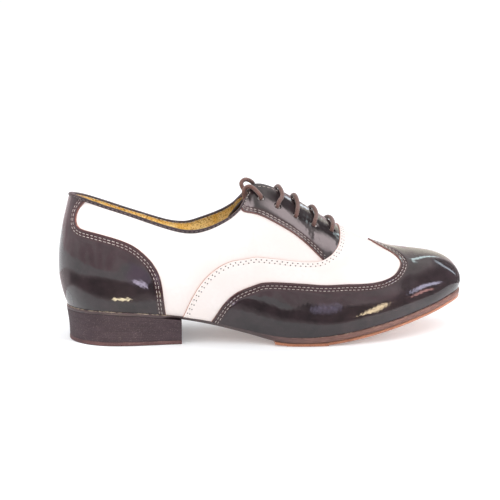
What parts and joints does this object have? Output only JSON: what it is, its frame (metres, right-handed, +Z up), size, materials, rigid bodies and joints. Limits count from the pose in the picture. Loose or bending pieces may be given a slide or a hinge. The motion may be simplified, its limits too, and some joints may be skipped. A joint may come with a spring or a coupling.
{
  "type": "wingtip dance shoe",
  "caption": "Two-tone laced wingtip dance shoe in white and dark patent leather, with a low stacked heel and a suede half sole, for the right foot.",
  "frame": {"origin": "middle of the shoe's length and width, on the floor it stands on", "axes": "+X towards the toe, +Y towards the inner (medial) side of the foot, +Z up"},
  "size_m": [0.287, 0.0972, 0.1094],
  "materials": {
    "white_leather": "fine-grained, satin",
    "patent_leather": "patent, high gloss",
    "binding_leather": "thin folded strip, satin",
    "tongue_leather": "soft, satin",
    "lining_leather": "smooth lining, matt",
    "sole_leather": "stained edge, satin",
    "suede": "napped, matt",
    "heel_board": "stacked leather board, matt stain",
    "top_piece": "matt",
    "lace_cord": "round braided cord"
  },
  "bodies": {
    "root": {"upper": "white_leather", "vamp": "white_leather", "wingtip": "patent_leather", "counter": "patent_leather", "eyestay_lateral": "patent_leather", "eyestay_medial": "patent_leather", "collar_binding": "binding_leather", "tongue": "tongue_leather", "insole": "lining_leather", "outsole": "sole_leather", "suede_sole": "suede", "heel_block": "heel_board", "heel_top_piece": "top_piece", "lace_1": "lace_cord", "lace_2": "lace_cord", "lace_3": "lace_cord", "lace_4": "lace_cord", "lace_end_lateral": "lace_cord", "lace_end_medial": "lace_cord"}
  },
  "joints": []
}
